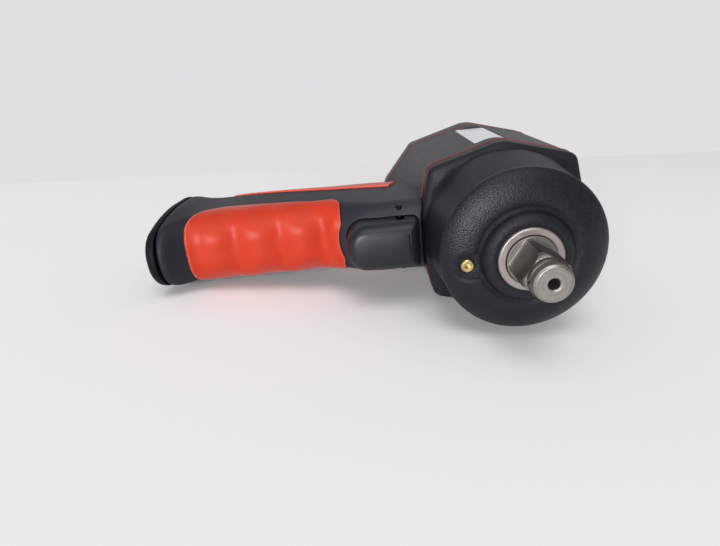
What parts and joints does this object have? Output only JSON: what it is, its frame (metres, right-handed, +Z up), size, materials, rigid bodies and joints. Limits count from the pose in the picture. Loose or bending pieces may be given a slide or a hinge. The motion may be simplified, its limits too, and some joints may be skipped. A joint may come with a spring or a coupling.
{
  "type": "air impact wrench",
  "caption": "Pistol-grip air impact wrench with a square drive, domed hammer case, gabled composite motor housing, sprung trigger, turning direction knob and soft rubber grips.",
  "frame": {"origin": "on the drive axis, at the front face of the anvil bushing", "axes": "-Y points out of the square drive, -X runs down the handle, +Z is up from the bench with the tool lying on its left side"},
  "size_m": [0.1831, 0.1441, 0.0698],
  "materials": {
    "case_paint": "cast aluminium, black textured powder coat",
    "cap_paint": "cast aluminium, smooth black coat",
    "drive_steel": "ground steel with turning marks",
    "bushing_steel": "turned steel",
    "brass": "plain brass",
    "composite": "satin dark grey moulding",
    "cover_black": "satin black moulding",
    "grip_rubber": "satin red rubber",
    "gasket_red": "red fibre sheet",
    "label_metal": "bare satin sheet",
    "trigger_plastic": "satin black moulding",
    "knob_plastic": "satin black moulding",
    "screw_steel": "black oxide steel",
    "clutch_steel": "forged and ground steel",
    "motor_steel": "ground steel",
    "bearing_steel": "polished steel",
    "plate_iron": "ground iron",
    "vane_composite": "brown resin laminate",
    "spring_steel": "drawn wire",
    "bush_brass": "turned brass",
    "seal_rubber": "black rubber",
    "inlet_steel": "zinc-plated steel",
    "screen_steel": "pierced sheet",
    "muffler_felt": "porous felt"
  },
  "bodies": {
    "housing": {"hammer_case": "case_paint", "motor_housing": "composite", "rear_cap": "cap_paint", "exhaust_cover": "cover_black", "front_gasket": "gasket_red", "rear_gasket": "gasket_red", "grip_front": "grip_rubber", "grip_back": "grip_rubber", "label_plate": "label_metal", "anvil_bushing": "bushing_steel", "grease_fitting": "brass", "thrust_washer": "clutch_steel", "cylinder": "motor_steel", "cylinder_dowel": "screw_steel", "front_end_plate": "plate_iron", "rear_end_plate": "plate_iron", "front_bearing_outer": "bearing_steel", "rear_bearing_outer": "bearing_steel", "case_bolts": "screw_steel", "bolt_washers": "screw_steel", "trigger_pin": "screw_steel", "throttle_bush": "bush_brass", "bush_seal": "seal_rubber", "valve_spring": "spring_steel", "muffler": "muffler_felt", "inlet_bushing": "inlet_steel", "inlet_seal": "seal_rubber", "inlet_screen": "screen_steel", "inlet_pin": "screw_steel"},
    "anvil": {"anvil": "drive_steel", "friction_ring": "drive_steel", "ring_cushion": "seal_rubber"},
    "rotor": {"rotor": "motor_steel", "rotor_vanes": "vane_composite", "hammer_cage": "clutch_steel", "hammer_pins": "clutch_steel", "front_bearing_inner": "bearing_steel", "rear_bearing_inner": "bearing_steel"},
    "balls": {"front_bearing_balls": "bearing_steel", "rear_bearing_balls": "bearing_steel"},
    "front_hammer": {"front_hammer": "clutch_steel"},
    "rear_hammer": {"rear_hammer": "clutch_steel"},
    "trigger": {"trigger": "trigger_plastic", "trigger_stem": "motor_steel", "throttle_valve": "bush_brass", "valve_face": "seal_rubber"},
    "direction": {"direction_knob": "knob_plastic", "reverse_valve": "motor_steel", "reverse_seal": "seal_rubber", "knob_screw": "screw_steel"}
  },
  "joints": [
    {"name": "anvil_spin", "type": "hinge", "parent": "housing", "child": "anvil", "pos_m": [0, 0, 0], "axis": [0, 1, 0], "continuous": true},
    {"name": "rotor_spin", "type": "hinge", "parent": "housing", "child": "rotor", "pos_m": [0, 0, 0], "axis": [0, 1, 0], "continuous": true},
    {"name": "ball_orbit", "type": "hinge", "parent": "housing", "child": "balls", "pos_m": [0, 0, 0], "axis": [0, 1, 0], "continuous": true},
    {"name": "front_hammer_rock", "type": "hinge", "parent": "rotor", "child": "front_hammer", "pos_m": [0.01935, 0, 0.0024], "axis": [0, 1, 0], "range_deg": [-6, 6]},
    {"name": "rear_hammer_rock", "type": "hinge", "parent": "rotor", "child": "rear_hammer", "pos_m": [-0.01935, 0, -0.0024], "axis": [0, 1, 0], "range_deg": [-6, 6]},
    {"name": "trigger_slide", "type": "slide", "parent": "housing", "child": "trigger", "axis": [0, 1, 0], "range_m": [0, 0.006], "stiffness_N_per_m": 1500, "springref_m": -0.004, "deforming": ["valve_spring"]},
    {"name": "direction_turn", "type": "hinge", "parent": "housing", "child": "direction", "pos_m": [-0.03295, 0.1186, -0.00408], "axis": [0, 1, 0], "range_deg": [0, 90]}
  ],
  "couplings": [
    {"joint": "ball_orbit", "follows": "rotor_spin", "ratio": 0.40625}
  ]
}
